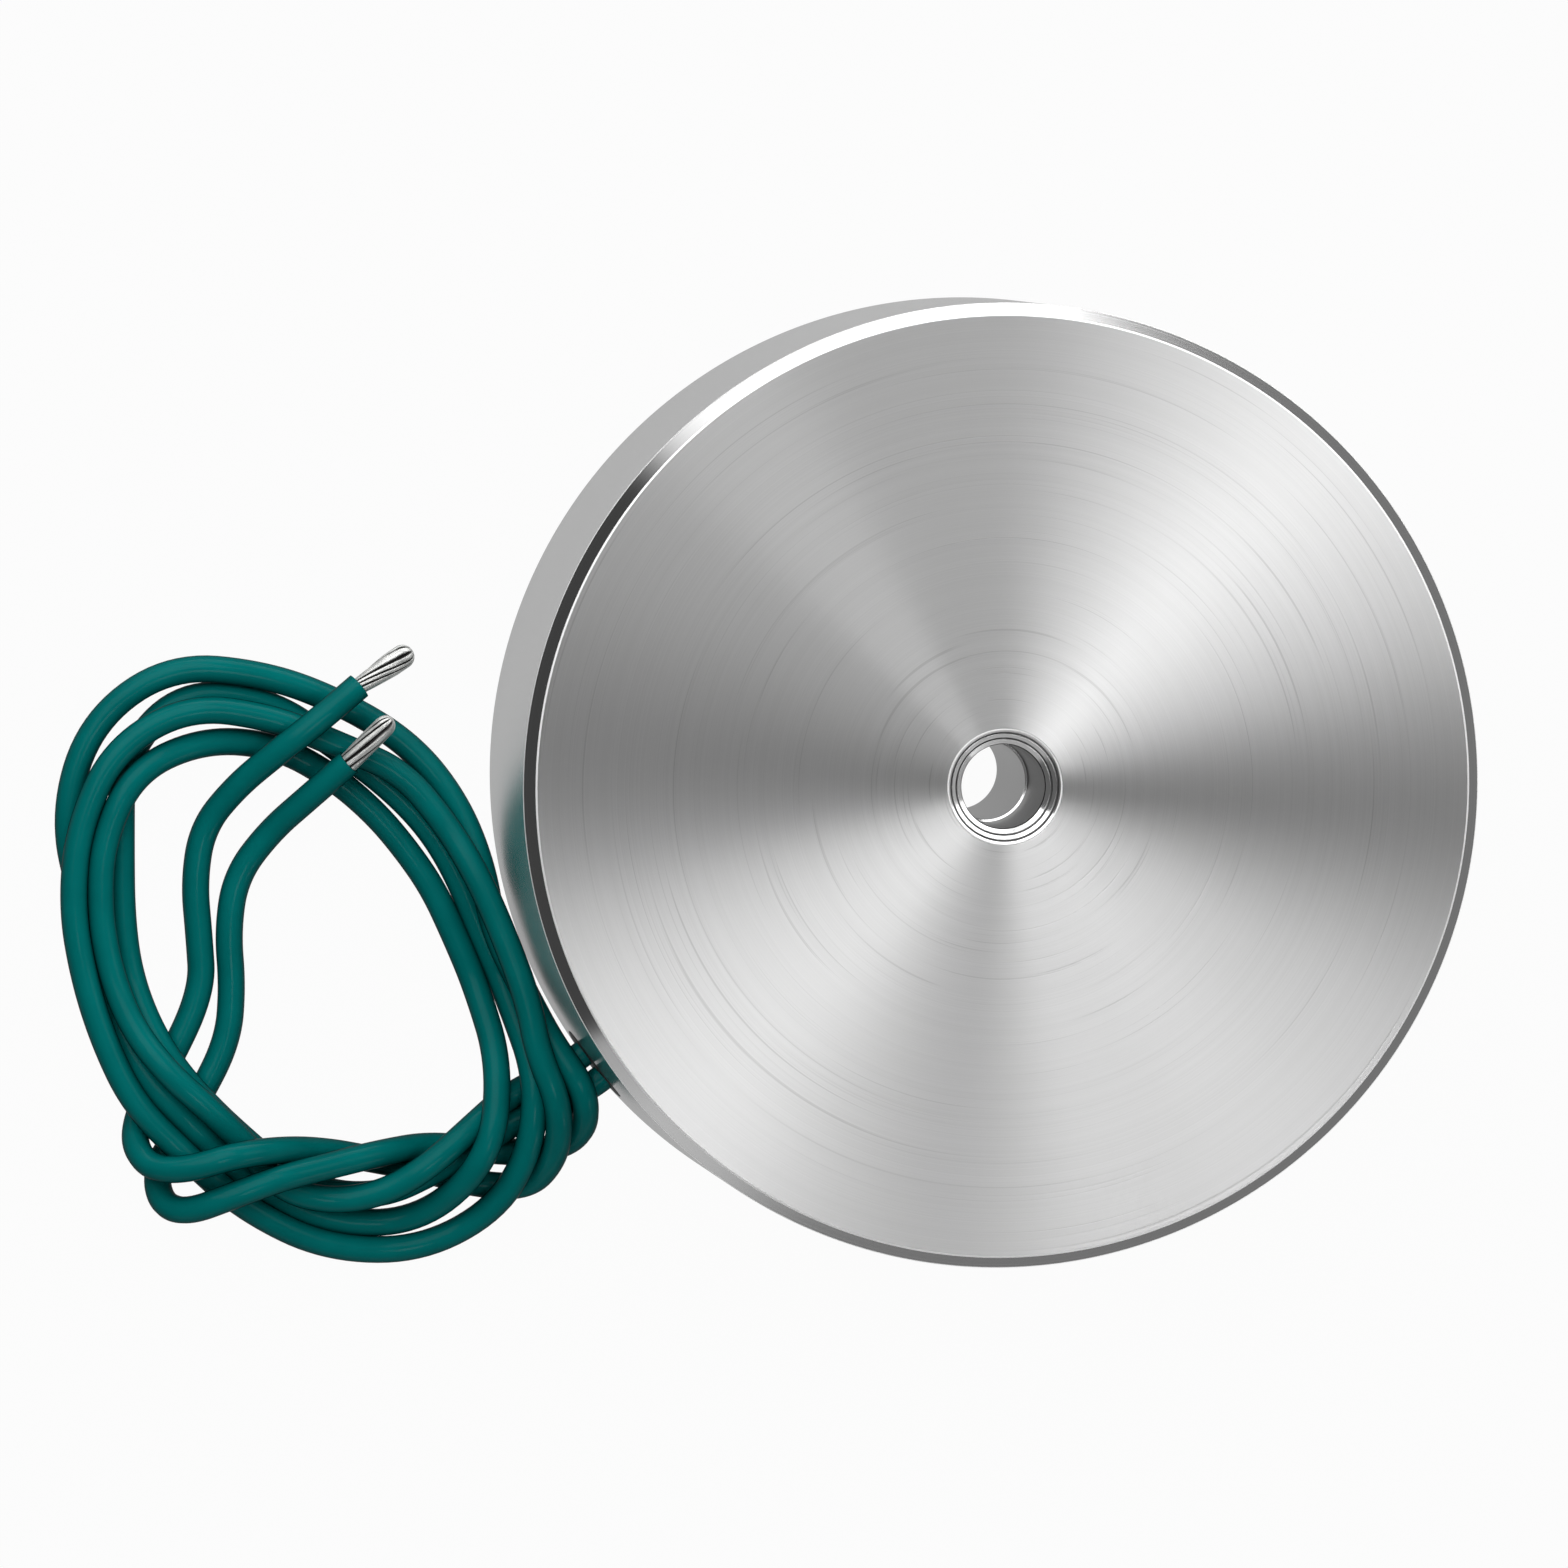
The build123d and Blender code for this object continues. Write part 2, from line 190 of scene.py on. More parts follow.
LEAD_A_KNUCKLE = [
    (21.1, -7.8, 5.6), (23.8, -11.7, 7.1), (24.0, -15.6, 4.2), (20.6, -17.4, 1.2),
    (15.8, -17.1, 1.2), (11.2, -16.5, 1.6), (6.9, -16.9, 4.3), (2.6, -17.8, 5.2),
    (-1.8, -18.7, 6.5), (-6.0, -20.2, 6.6), (-9.6, -21.7, 4.9), (-11.6, -21.1, 3.2),
    (-12.0, -18.5, 1.7),
]
LEAD_A_TAIL = [
    (-10.3, -15.6, 1.2), (-8.6, -13.0, 1.2), (-5.8, -7.7, 1.2), (-5.4, -3.0, 1.2),
    (-5.8, 1.7, 1.4), (-5.1, 6.3, 1.4), (-2.3, 10.1, 2.2), (0.8, 13.1, 4.6),
    (4.0, 16.0, 5.6),
]
JOINT_DISTANCE = 31.15
EXIT_RUN = [JOINT_DISTANCE, 34.5, 38.5, 42.0]
route_a = np.vstack((
    exit_points(EXIT_RUN, -LEAD_PITCH / 2),
    np.array(LEAD_A_START) + coil_centre,
    coil_turns(LEAD_A_RADII, LEAD_A_HEIGHTS),
    np.array(LEAD_A_KNUCKLE) + coil_centre,
    np.array(LEAD_A_TAIL) + coil_centre,
)) * MM
print("first lead:", len(route_a), "control points")

# %% Route of the second lead
LEAD_B_START = [
    (18.8, -14.3, 1.9), (15.3, -16.5, 3.5), (11.3, -18.6, 3.8), (7.5, -20.6, 2.2),
    (3.1, -20.7, 1.2), (-1.1, -18.9, 1.2), (-4.4, -16.0, 1.6),
]
LEAD_B_RADII = [
    15.1, 14.3, 14.0, 14.2, 15.0, 17.0, 21.9, 23.9, 21.2, 17.3, 15.8, 15.2, 15.0, 15.5,
    18.2, 23.2, 27.4, 27.8, 25.4, 22.1, 19.5, 18.8, 18.0, 18.2, 19.5, 21.3, 23.1, 22.7,
    19.8, 17.6, 17.4, 16.4, 16.2, 17.0, 19.4,
]
LEAD_B_HEIGHTS = [
    3.4, 3.6, 2.4, 1.2, 1.2, 1.2, 1.2, 1.2, 1.2, 1.2, 1.2, 1.2, 1.2, 1.2,
    1.2, 6.6, 3.9, 1.3, 1.9, 3.2, 4.3, 4.0, 3.7, 3.3, 3.4, 3.2, 3.4, 3.3,
    3.2, 3.5, 3.2, 3.3, 4.6, 5.3, 6.5,
]
LEAD_B_KNUCKLE = [
    (19.7, -8.4, 7.2), (21.5, -12.7, 7.4), (21.7, -16.9, 5.1), (19.8, -20.2, 1.8),
    (15.1, -20.0, 1.2), (10.7, -18.6, 1.2), (6.2, -17.7, 1.2), (2.1, -16.8, 2.7),
    (-1.7, -16.4, 5.7), (-6.0, -16.7, 7.6), (-9.6, -17.9, 6.8), (-12.6, -18.0, 4.9),
    (-14.0, -16.0, 2.9), (-13.2, -13.1, 1.2),
]
LEAD_B_TAIL = [
    (-11.2, -10.2, 1.2), (-7.9, -3.4, 1.2), (-8.2, 1.3, 1.2), (-8.6, 5.8, 1.2),
    (-7.9, 10.4, 1.4), (-5.2, 13.9, 2.8), (-2.1, 16.7, 4.8), (1.4, 19.5, 5.8),
    (4.9, 22.4, 5.4),
]
route_b = np.vstack((
    exit_points(EXIT_RUN, LEAD_PITCH / 2),
    np.array(LEAD_B_START) + coil_centre,
    coil_turns(LEAD_B_RADII, LEAD_B_HEIGHTS),
    np.array(LEAD_B_KNUCKLE) + coil_centre,
    np.array(LEAD_B_TAIL) + coil_centre,
)) * MM
print("second lead:", len(route_b), "control points")

# %% [markdown]
# ## Drawing the leads
#
# A lead is a curve with a round section: Blender carries a circle of the jacket's
# radius along the line. The bare line is read first, before it has any thickness,
# because its length is the lead's real length. The curve's degree is set after its
# points are there, or it would run straight from point to point.


# %% Draw the leads
def lead_curve(name, route):
    """One smooth curve that is pulled towards a lead's control points in turn."""
    curve = bpy.data.curves.new(name, "CURVE")
    curve.dimensions = "3D"
    spline = curve.splines.new("NURBS")
    spline.points.add(len(route) - 1)
    spline.points.foreach_set("co", np.column_stack((route, np.ones(len(route)))).ravel())
    spline.order_u = 3
    spline.use_endpoint_u = True
    spline.resolution_u = 10
    curve.resolution_u = 10
    lead = bpy.data.objects.new(name, curve)
    bpy.context.scene.collection.objects.link(lead)
    return lead


def centreline(lead):
    """Points along the bare curve, read from Blender before it has any thickness."""
    mesh = bpy.data.meshes.new_from_object(lead)
    line = np.empty(len(mesh.vertices) * 3)
    mesh.vertices.foreach_get("co", line)
    bpy.data.meshes.remove(mesh)
    return line.reshape(-1, 3)


def line_length(line):
    """Length of a line: the sum of the steps between its points."""
    return float(np.linalg.norm(np.diff(line, axis=0), axis=1).sum())


lead_a = lead_curve("lead_a", route_a)
lead_b = lead_curve("lead_b", route_b)
line_a = centreline(lead_a)
line_b = centreline(lead_b)
for lead in (lead_a, lead_b):
    lead.data.bevel_depth = LEAD_DIAMETER / 2 * MM
    lead.data.bevel_resolution = 6
    lead.data.use_fill_caps = True
print("lead lengths", round(line_length(line_a), 4), round(line_length(line_b), 4), "m")

# %% [markdown]
# ## Surfaces from numbers
#
# Almost everything else on this object came off a lathe, so one helper does most of
# the work: it carries a profile of radius and height once round the axis. Sharp
# corners catch no light, while a real edge always has a tiny rounding that shows as
# a bright line, so every corner of a profile gets a small arc. A profile runs
# outwards below and inwards above, and then the faces of its surface look outwards.


# %% Round the corners of a profile
def rounded_profile(corners, steps=6, hold=0.04):
    """Closed outline with an arc at each corner (radius, height, rounding).

    The arc touches both sides at rounding times the tangent of half the turn, and a
    holding point just before and after it keeps the flats flat when shaded."""
    corners = np.asarray(corners, float)
    points = []
    for index, (r, z, rounding) in enumerate(corners):
        here = np.array((r, z))
        back = corners[index - 1, :2] - here
        ahead = corners[(index + 1) % len(corners), :2] - here
        room = 0.45 * min(np.linalg.norm(back), np.linalg.norm(ahead))
        back /= np.linalg.norm(back)
        ahead /= np.linalg.norm(ahead)
        inner = np.arccos(np.clip(back @ ahead, -1, 1))
        reach_of_arc = min(rounding / np.tan(inner / 2), room)
        radius = reach_of_arc * np.tan(inner / 2)
        inwards = (back + ahead) / np.linalg.norm(back + ahead)
        middle = here + inwards * radius / np.sin(inner / 2)
        first = here + back * reach_of_arc - middle
        last = here + ahead * reach_of_arc - middle
        share = np.linspace(0, 1, steps + 1)[:, None]
        arc = first * (1 - share) + last * share
        arc *= radius / np.linalg.norm(arc, axis=1)[:, None]
        holding = min(reach_of_arc + hold, 1.05 * room)
        points.append(here + back * holding)
        points.extend(middle + arc)
        points.append(here + ahead * holding)
    return np.array(points)


square = rounded_profile([(0, 0, 0.1), (1, 0, 0.1), (1, 1, 0.1), (0, 1, 0.1)])
print("a square with round corners has", len(square), "points")

# %% [markdown]
# ## Meshes from grids
#
# Points that lie in rows and columns need no list of faces made by hand: each quad
# joins a point, its neighbour in the next row, and the same two one column on. A
# grid that comes back to itself is closed by counting round. Where a grid ends in
# a ring, a fan of triangles to the ring's middle closes the hole.


# %% Make a mesh from a grid of points
def grid_faces(across, along, close_across, close_along):
    """Corner numbers of the quads on a grid of across by along points."""
    i = np.arange(across if close_across else across - 1)
    j = np.arange(along if close_along else along - 1)
    i, j = (part.ravel() for part in np.meshgrid(i, j, indexing="ij"))
    i2 = (i + 1) % across
    j2 = (j + 1) % along
    quads = np.column_stack((i * along + j, i2 * along + j, i2 * along + j2, i * along + j2))
    return quads, i, j


def fan(ring, middle):
    """Triangles that close a ring of corners with one point in its middle."""
    return np.column_stack((ring, np.roll(ring, -1), np.full(len(ring), middle))).tolist()


def mesh_object(name, points, faces, smooth=True):
    """Object at the origin, from points in millimetres and the corner numbers of faces."""
    mesh = bpy.data.meshes.new(name)
    mesh.from_pydata((np.asarray(points) * MM).tolist(), [], faces)
    mesh.validate()
    mesh.update()
    if smooth:
        mesh.shade_smooth()
    piece = bpy.data.objects.new(name, mesh)
    bpy.context.scene.collection.objects.link(piece)
    return piece


print("a closed ring of 8 by 4 points has", len(grid_faces(8, 4, True, True)[0]), "faces")

# %% [markdown]
# ## The lathe
#
# Blender's Screw and Spin tools could turn a profile too. It is worked out here as
# a grid of angle by profile, because the map of the surface is then known for each
# corner, and the brushed finish of the steel needs it.


# %% Carry a profile round the axis
def turned_surface(name, profile, segments):
    """Closed profile carried round the axis: x = r cos a, y = r sin a, z = height.

    The map of the surface has u once round the axis and v along the profile, so a
    brushed finish knows which way the tool went."""
    angles = 2 * np.pi * np.arange(segments) / segments
    r, z = profile[:, 0], profile[:, 1]
    x = np.cos(angles)[:, None] * r
    y = np.sin(angles)[:, None] * r
    points = np.stack((x, y, np.broadcast_to(z, x.shape)), axis=2).reshape(-1, 3)
    faces, i, j = grid_faces(segments, len(profile), True, True)
    piece = mesh_object(name, points, faces.tolist())
    step = np.linalg.norm(np.roll(profile, -1, axis=0) - profile, axis=1)
    v = np.concatenate(((0.0,), np.cumsum(step))) / step.sum()
    uv = piece.data.uv_layers.new(name="turned")
    corners = np.stack((
        np.column_stack((i / segments, v[j])),
        np.column_stack(((i + 1) / segments, v[j])),
        np.column_stack(((i + 1) / segments, v[j + 1])),
        np.column_stack((i / segments, v[j + 1])),
    ), axis=1)
    uv.data.foreach_set("uv", corners.ravel())
    return piece


print("lathe ready")

# %% [markdown]
# ## The pot
#
# The pot is one piece of mild steel: the lathe faces its back, breaks the rim with
# a one millimetre chamfer and turns the outside. The inside is a cup for the
# winding. A hole low in the wall lets the leads out. It is drilled here as it is
# on the real pot, after the turning: a round bar along the exit is taken out.


# %% Drill along the exit
def exit_bar(name, radius, start, end, segments=64):
    """Round bar along the exit's line, as a tool: a circle carried straight."""
    turn = 2 * np.pi * np.arange(segments) / segments
    ends = exit_points([start, end], 0.0)
    circle = radius * (np.cos(turn)[:, None] * EXIT_ASIDE + np.sin(turn)[:, None] * (0, 0, 1))
    points = np.concatenate((circle + ends[0], circle + ends[1], ends))
    ring = np.arange(segments)
    after = np.roll(ring, -1)
    sides = np.column_stack((ring, after, after + segments, ring + segments)).tolist()
    caps = fan(ring[::-1], 2 * segments) + fan(ring + segments, 2 * segments + 1)
    return mesh_object(name, points, sides + caps, smooth=False)


def cut(piece, tool, sharp_from=35.0):
    """Piece with the tool's shape taken out of it, kept as a plain mesh."""
    step = piece.modifiers.new("cut", "BOOLEAN")
    step.operation = "DIFFERENCE"
    step.solver = "EXACT"
    step.object = tool
    graph = bpy.context.evaluated_depsgraph_get()
    mesh = bpy.data.meshes.new_from_object(piece.evaluated_get(graph))
    piece.modifiers.remove(step)
    piece.data = mesh
    mesh.set_sharp_from_angle(angle=np.radians(sharp_from))
    bpy.data.objects.remove(tool)
    return piece


print("drill ready")

# %% Turn the pot
SPIGOT_RADIUS = 4.85
RIM_CHAMFER = 1.0
EDGE_RADIUS = 39.02
FOOT_CHAMFER = 0.5
EXIT_HOLE_RADIUS = 3.1
DRILL_FROM, DRILL_TO = 28.0, 44.0
POT_CORNERS = [
    (CAVITY_RADIUS, 0.0, 0.15),
    (BODY_RADIUS - FOOT_CHAMFER, 0.0, 0.1),
    (BODY_RADIUS, FOOT_CHAMFER, 0.1),
    (BODY_RADIUS, BODY_HEIGHT - RIM_CHAMFER - 0.05, 0.05),
    (BODY_RADIUS - 0.06, BODY_HEIGHT - RIM_CHAMFER + 0.05, 0.03),
    (EDGE_RADIUS + 0.03, BODY_HEIGHT - 0.06, 0.02),
    (EDGE_RADIUS - 0.09, BODY_HEIGHT, 0.02),
    (SPIGOT_RADIUS, BODY_HEIGHT, 0.03),
    (SPIGOT_RADIUS, BACK_LEVEL, 0.1),
    (CAVITY_RADIUS, BACK_LEVEL, 0.3),
]
pot = turned_surface("pot_body", rounded_profile(POT_CORNERS), 448)
pot = cut(pot, exit_bar("exit_tool", EXIT_HOLE_RADIUS, DRILL_FROM, DRILL_TO))
print("pot:", len(pot.data.polygons), "faces")

# %% [markdown]
# ## The pole
#
# The core of the magnet is a steel tube with a spigot on its end that passes
# through the back of the pot. Its mouth is turned into fine steps, which read as
# bright and dark rings, and the bore has a shallow step ten millimetres down. The
# rings of the mouth are given from the outside in, by radius and by depth below
# the face, as a lathe hand would note them.

# %% Turn the pole
BORE_RADIUS = 3.3
MOUTH_RADIUS = 3.5
MOUTH_DEPTH = 10.0
STEP_LEVEL = BODY_HEIGHT - MOUTH_DEPTH
SPIGOT_CLEARANCE = 0.01
MOUTH_RINGS = [
    (SPIGOT_RADIUS - SPIGOT_CLEARANCE, 0.04, 0.02), (4.78, 0.0, 0.03), (4.70, 0.03, 0.03),
    (4.56, 0.13, 0.02), (4.53, 0.38, 0.02), (4.43, 0.40, 0.02), (4.40, 0.24, 0.03),
    (4.08, 0.47, 0.02), (4.05, 0.70, 0.02), (3.96, 0.72, 0.02), (3.93, 0.58, 0.03),
    (3.56, 0.86, 0.04), (MOUTH_RADIUS, 1.0, 0.04),
]
POLE_CORNERS = [
    (BORE_RADIUS, 0.0, 0.1),
    (POLE_RADIUS - 0.4, 0.0, 0.1),
    (POLE_RADIUS, 0.4, 0.1),
    (POLE_RADIUS, BACK_LEVEL, 0.1),
    (SPIGOT_RADIUS - SPIGOT_CLEARANCE, BACK_LEVEL, 0.1),
    *((radius, BODY_HEIGHT - depth, rounding) for radius, depth, rounding in MOUTH_RINGS),
    (MOUTH_RADIUS, STEP_LEVEL + 0.05, 0.01),
    (BORE_RADIUS, STEP_LEVEL, 0.02),
]
pole_profile = rounded_profile(POLE_CORNERS, steps=4, hold=0.01)
pole = turned_surface("pole_core", pole_profile, 256)
print("pole:", len(pole.data.polygons), "faces")

# %% [markdown]
# ## The bush
#
# A rubber bush lines the hole, so the steel can't cut the leads. It is pressed in
# until it is flush: its thin collar stands proud of the wall by less than a tenth
# of a millimetre. The collar follows the curved wall, which at a step y across the
# exit is at the distance square root of R squared minus y squared.

# %% Mould the bush
BUSH_COLLAR_RADIUS = 3.5
BUSH_PROUD = 0.07
BUSH_BARREL = [
    (32.7, 2.9), (32.8, 3.0), (34.0, EXIT_HOLE_RADIUS - 0.02), (39.2, EXIT_HOLE_RADIUS - 0.02),
]
BUSH_COLLAR = [
    (0.0, EXIT_HOLE_RADIUS), (0.0, 3.3), (0.0, 3.42), (0.01, 3.48), (0.02, BUSH_COLLAR_RADIUS),
    (0.03, BUSH_COLLAR_RADIUS), (0.05, 3.47), (0.06, 3.4), (BUSH_PROUD, 3.3),
    (BUSH_PROUD, 3.15), (BUSH_PROUD, 1.5), (BUSH_PROUD, 0.4),
]


def bush_surface(name, segments=96):
    """Outline of distance and radius carried round the exit's line.

    Along the barrel the distance counts from the axis, and on the collar from the
    curved wall. A fan closes each end."""
    outline = np.array(BUSH_BARREL + BUSH_COLLAR)
    on_wall = np.arange(len(outline)) >= len(BUSH_BARREL)
    turn = 2 * np.pi * np.arange(segments) / segments
    y = np.cos(turn)[:, None] * outline[:, 1]
    z = np.sin(turn)[:, None] * outline[:, 1]
    wall = np.sqrt(BODY_RADIUS ** 2 - y ** 2)
    distance = np.where(on_wall, wall + outline[:, 0], outline[:, 0])
    points = distance[..., None] * EXIT_ALONG + y[..., None] * EXIT_ASIDE
    points = (points + z[..., None] * (0, 0, 1) + (0, 0, EXIT_HEIGHT)).reshape(-1, 3)
    faces, _, _ = grid_faces(segments, len(outline), True, False)
    middles = exit_points([outline[0, 0], BODY_RADIUS + BUSH_PROUD], 0.0)
    rear = np.arange(segments) * len(outline)
    front = rear + len(outline) - 1
    caps = fan(rear[::-1], len(points)) + fan(front, len(points) + 1)
    points = np.concatenate((points, middles))
    return mesh_object(name, points, faces.tolist() + caps, smooth=False)


bush = bush_surface("exit_bush")
print("bush:", len(bush.data.polygons), "faces")

# %% [markdown]
# ## The bared ends
#
# Each end is stripped for about five millimetres. The fine tinned wires keep their
# twist, are narrowest where the jacket squeezes them and run into a rounded tip.
# One skin does for all of them: a round bar whose radius dips between neighbouring
# wires, with the dips winding round it. How deep a point lies in a dip is kept on
# the mesh as an attribute, and the finish of the wire paints shade there: it
# darkens the dips towards black.

# %% Shape a twisted end
WIRE_COUNT = 8
TWIST_PER_MM = 0.19
DIP_SHARPNESS = 8
DIP_DEPTH = 0.24
WIDE_FROM = 0.6
BLUNT_TIP = 0.002


def twisted_end(name, root, tip, lift, seed, at_root, at_tip, rings=130, around=280):
    """Skin of a bundle: radius R(s) times 1 - d |sin(n a / 2)| to a high power.

    The angle a turns with s by the twist, and its spacing is uneven by two slow
    waves, so no two wires are the same width. R(s) widens from the root and closes
    at the tip as a quarter circle does."""
    rng = np.random.default_rng(seed)
    phase = rng.uniform(0, 2 * np.pi, 3)
    s = np.linspace(0, 1, rings)
    length = np.linalg.norm(tip - root)
    ahead = (tip - root) / length
    side = np.cross(ahead, (0, 0, 1.0))
    side /= np.linalg.norm(side)
    over = np.cross(side, ahead)
    path = root + s[:, None] * (tip - root) + lift * (s * (1 - s))[:, None] * over
    widen = at_root + (at_tip - at_root) * np.clip(s / WIDE_FROM, 0, 1) ** 0.9
    to_tip = np.clip((1 - s) * length / at_tip, 0, 1)
    round_off = np.sqrt(np.clip(1 - (1 - to_tip) ** 2, BLUNT_TIP, 1))
    radius = widen * round_off

    turn = 2 * np.pi * np.arange(around) / around
    wave = turn[None, :] + TWIST_PER_MM * s[:, None] * length
    wave = (wave + 0.20 * np.sin(2 * wave + phase[0])
            + 0.13 * np.sin(3 * wave + phase[1] + 2 * s[:, None]))
    dip = np.abs(np.sin(WIRE_COUNT * wave / 2)) ** DIP_SHARPNESS
    depth = DIP_DEPTH * np.clip(round_off * 1.6 - 0.45, 0, 1)
    skin = radius[:, None] * (1 - depth[:, None] * dip)
    outwards = np.cos(turn)[:, None] * side + np.sin(turn)[:, None] * over
    points = (path[:, None, :] + skin[..., None] * outwards).reshape(-1, 3)

    faces, _, _ = grid_faces(rings, around, False, True)
    ring = np.arange(around)
    last = (rings - 1) * around + ring
    caps = fan(ring, len(points)) + fan(last[::-1], len(points) + 1)
    points = np.concatenate((points, [path[0]], [path[-1]]))
    piece = mesh_object(name, points, faces.tolist() + caps)
    # the wire's finish turns this groove value into painted shade in the dips
    groove = piece.data.attributes.new("groove", "FLOAT", "POINT")
    deep = dip * np.clip(depth / 0.2, 0, 1)[:, None]
    groove.data.foreach_set("value", np.concatenate((deep.ravel(), (0.0, 0.0))))
    return piece


end_a = route_a[-1] / MM
end_b = route_b[-1] / MM
strands_a = twisted_end(
    "bared_end_a", end_a - (0.2, 0.2, 0.0), end_a + (3.55, 3.75, 0.9), 0.2, 3, 0.88, 0.92)
strands_b = twisted_end(
    "bared_end_b", end_b - (0.2, 0.16, 0.0), end_b + (4.5, 2.95, -0.2), 0.2, 8, 0.70, 1.02)
print("bared ends:", len(strands_a.data.polygons), "faces each")

# %% [markdown]
# ## Working with nodes
#
# Finishes and the sky are made of nodes. They could be joined by hand in the node
# editor. In a script, the class below gives short ways to add a node, to join two
# of them and to do sums, so that a finish reads like a recipe.


# %% A tree of nodes
class NodeTree:
    """Short ways to add nodes to a tree and to join them.

    A value that runs through the nodes is a pair of a node and its output."""

    def __init__(self, tree):
        self.tree = tree

    def node(self, kind, **settings):
        """New node of a kind, with some of its settings."""
        made = self.tree.nodes.new(kind)
        for key, value in settings.items():
            setattr(made, key, value)
        return made

    def join(self, source, output, target, entry):
        """Link from one node's output to another's entry."""
        self.tree.links.new(source.outputs[output], target.inputs[entry])

    def feed(self, value, target, entry):
        """Link from a (node, output) pair to a node's entry."""
        self.join(value[0], value[1], target, entry)

    def math(self, operation, first, second=None):
        """Arithmetic on (node, output) pairs or plain numbers."""
        made = self.node("ShaderNodeMath", operation=operation)
        for slot, value in enumerate((first, second)):
            if isinstance(value, tuple):
                self.feed(value, made, slot)
            elif value is not None:
                made.inputs[slot].default_value = value
        return (made, 0)

    def ramp(self, source, stops):
        """Ramp of greys or colours over a value, from stops of position and colour."""
        made = self.node("ShaderNodeValToRGB")
        self.feed(source, made, 0)
        elements = made.color_ramp.elements
        elements[0].position = stops[0][0]
        elements[1].position = stops[-1][0]
        for position, _ in stops[1:-1]:
            elements.new(position)
        for element, (_, colour) in zip(elements, stops):
            red_green_blue = colour if isinstance(colour, tuple) else (colour,) * 3
            element.color = (*red_green_blue, 1.0)
        return (made, 0)

    def step(self, value, low, high):
        """Soft step of a value, from 0 at low to 1 at high."""
        made = self.node("ShaderNodeMapRange", interpolation_type="SMOOTHSTEP")
        self.feed(value, made, "Value")
        made.inputs["From Min"].default_value = low
        made.inputs["From Max"].default_value = high
        return (made, "Result")

    def vector(self, operation, first, constant=None, second=None):
        """Arithmetic on a vector and a constant vector, or on two vectors."""
        made = self.node("ShaderNodeVectorMath", operation=operation)
        self.feed(first, made, 0)
        if constant is not None:
            made.inputs[1].default_value = constant
        if second is not None:
            self.feed(second, made, 1)
        return made


print("node helpers ready")

# %% [markdown]
# ## Finishes
#
# A finish is a material with one shader. Its patterns read the object's own
# coordinates, so they stay on the piece when it is seen from another side, and the
# distance from the axis, which is what a lathe's marks follow.


# %% A finish and its patterns
class Finish(NodeTree):
    """A material with its shader, and the patterns that finishes share."""

    def __init__(self, name):
        self.material = bpy.data.materials.new(name)
        self.material.use_nodes = True
        super().__init__(self.material.node_tree)
        self.tree.nodes.clear()
        self.out = self.node("ShaderNodeOutputMaterial")
        self.shader = self.node("ShaderNodeBsdfPrincipled")
        self.join(self.shader, "BSDF", self.out, "Surface")

    def set(self, **values):
        """Constants on the shader's own sockets; an underscore stands for a space."""
        for key, value in values.items():
            self.shader.inputs[key.replace("_", " ")].default_value = value

    def place(self):
        """The object's own coordinates, in metres."""
        return (self.node("ShaderNodeTexCoord"), "Object")

    def noise(self, scale, detail=4.0, vector=None, w=None):
        """Noise in three dimensions over the object's own coordinates, or in one over w."""
        made = self.node("ShaderNodeTexNoise", noise_dimensions="1D" if w else "3D")
        made.inputs["Scale"].default_value = scale
        made.inputs["Detail"].default_value = detail
        if w:
            self.feed(w, made, "W")
        else:
            self.feed(vector or self.place(), made, "Vector")
        return (made, 0)

    def bump(self, height, distance):
        """Bump of a height, in metres at its full value, joined to the shader."""
        made = self.node("ShaderNodeBump")
        made.inputs["Strength"].default_value = 1.0
        made.inputs["Distance"].default_value = distance
        self.feed(height, made, "Height")
        self.join(made, "Normal", self.shader, "Normal")

    def radius(self):
        """Distance from the axis, in millimetres: the length of x and y times 1000."""
        flat = self.vector("MULTIPLY", self.place(), constant=(1 / MM, 1 / MM, 0.0))
        return (self.vector("LENGTH", (flat, 0)), "Value")

    def around(self, radius, turns, spacing):
        """Place for marks that follow a circle: direction times turns, radius times spacing."""
        flat = self.vector("MULTIPLY", self.place(), constant=(1.0, 1.0, 0.0))
        towards = self.vector("NORMALIZE", (flat, 0))
        scaled = self.vector("SCALE", (towards, 0))
        scaled.inputs["Scale"].default_value = turns
        lifted = self.node("ShaderNodeCombineXYZ")
        self.feed(self.math("MULTIPLY", radius, spacing), lifted, "Z")
        return (self.vector("ADD", (scaled, 0), second=(lifted, 0)), 0)


print("finish helpers ready")

# %% [markdown]
# ## Turned steel
#
# Steel that was turned on a lathe is covered in fine circular scratches. They
# spread a reflection across themselves and hardly along themselves, so a lamp
# shows on the disc as a bright fan from the centre to the rim. The shader's
# anisotropy does this once it knows the direction of the scratches, and the
# surface's own map gives that direction.
#
# Rings of noise over the radius make the marks of the tool, and a second noise
# that changes slowly round the circle gives the odd longer arc. The same recipe,
# with other greys and roughness, makes every steel surface of the magnet: the
# satin face, the broken edges, whose near-white grey is a painted highlight, the
# chamfer, whose dark grey is painted shade, the wall, and the pole with its bore,
# whose mouth and bore walls are darker greys as painted shade.

# %% Turned steel
ACROSS_THE_MARKS = 0.25
ARC_TURNS = 0.8
ARC_SPACING = 4.5


